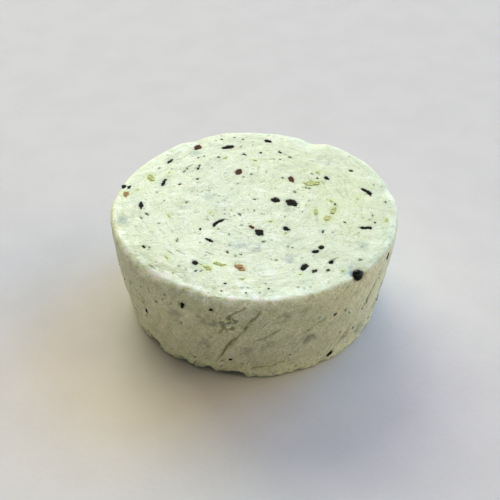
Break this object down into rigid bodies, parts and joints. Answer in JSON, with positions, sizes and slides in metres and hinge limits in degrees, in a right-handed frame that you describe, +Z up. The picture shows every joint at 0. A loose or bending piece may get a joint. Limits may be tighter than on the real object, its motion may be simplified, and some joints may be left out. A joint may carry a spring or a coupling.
{
  "type": "shaving soap puck",
  "caption": "Round tapered puck of pale green shaving soap with leaf flakes, petals, herb shreds and a seed set into it, for loading a shaving brush in a bowl.",
  "frame": {"origin": "centre of the base, on the plane that the puck rests on", "axes": "+Z up, out of the top face that a brush is loaded from; +Y away from the viewer; +X to the right"},
  "size_m": [0.0754, 0.0754, 0.0301],
  "materials": {
    "soap": "satin, creamy pale green, faintly translucent",
    "dark_leaf": "matt dried leaf, near black with a green cast",
    "red_petal": "matt dried petal, red-brown",
    "rust_petal": "matt dried petal, rust orange",
    "amber_husk": "dry husk, amber",
    "green_herb": "matt dried herb, yellow-green",
    "seed": "slightly glossy black seed"
  },
  "bodies": {
    "root": {"amber_husk": "amber_husk", "base_herb_shreds": "green_herb", "base_leaf_flakes": "dark_leaf", "buried_herb_shreds": "green_herb", "buried_leaf_flakes": "dark_leaf", "buried_red_petals": "red_petal", "flank_leaf_flake_01": "dark_leaf", "flank_leaf_flake_02": "dark_leaf", "flank_leaf_flake_03": "dark_leaf", "flank_leaf_flake_04": "dark_leaf", "flank_leaf_flake_05": "dark_leaf", "flank_leaf_flake_06": "dark_leaf", "flank_leaf_flake_07": "dark_leaf", "flank_leaf_flake_08": "dark_leaf", "flank_leaf_flake_09": "dark_leaf", "herb_shred_01": "green_herb", "herb_shred_02": "green_herb", "herb_shred_03": "green_herb", "herb_shred_04": "green_herb", "herb_shred_05": "green_herb", "herb_shred_06": "green_herb", "herb_shred_07": "green_herb", "herb_specks_flank": "green_herb", "herb_specks_top": "green_herb", "leaf_flake_01": "dark_leaf", "leaf_flake_02": "dark_leaf", "leaf_flake_03": "dark_leaf", "leaf_flake_04": "dark_leaf", "leaf_flake_05": "dark_leaf", "leaf_flake_06": "dark_leaf", "leaf_flake_07": "dark_leaf", "leaf_flake_08": "dark_leaf", "leaf_flake_09": "dark_leaf", "leaf_flake_10": "dark_leaf", "leaf_flake_11": "dark_leaf", "leaf_flake_12": "dark_leaf", "leaf_flake_13": "dark_leaf", "leaf_flake_14": "dark_leaf", "leaf_flake_15": "dark_leaf", "leaf_flake_16": "dark_leaf", "leaf_flake_17": "dark_leaf", "leaf_flake_18": "dark_leaf", "leaf_flake_19": "dark_leaf", "leaf_flake_20": "dark_leaf", "leaf_flake_21": "dark_leaf", "leaf_flake_22": "dark_leaf", "leaf_specks_flank": "dark_leaf", "leaf_specks_top": "dark_leaf", "red_petal_01": "red_petal", "red_petal_02": "red_petal", "red_petal_03": "red_petal", "red_petal_04": "red_petal", "round_seed": "seed", "rust_petal": "rust_petal", "shallow_flakes_flank": "dark_leaf", "shallow_flakes_top": "dark_leaf", "soap_crumbs": "soap", "soap_puck": "soap"}
  },
  "joints": []
}
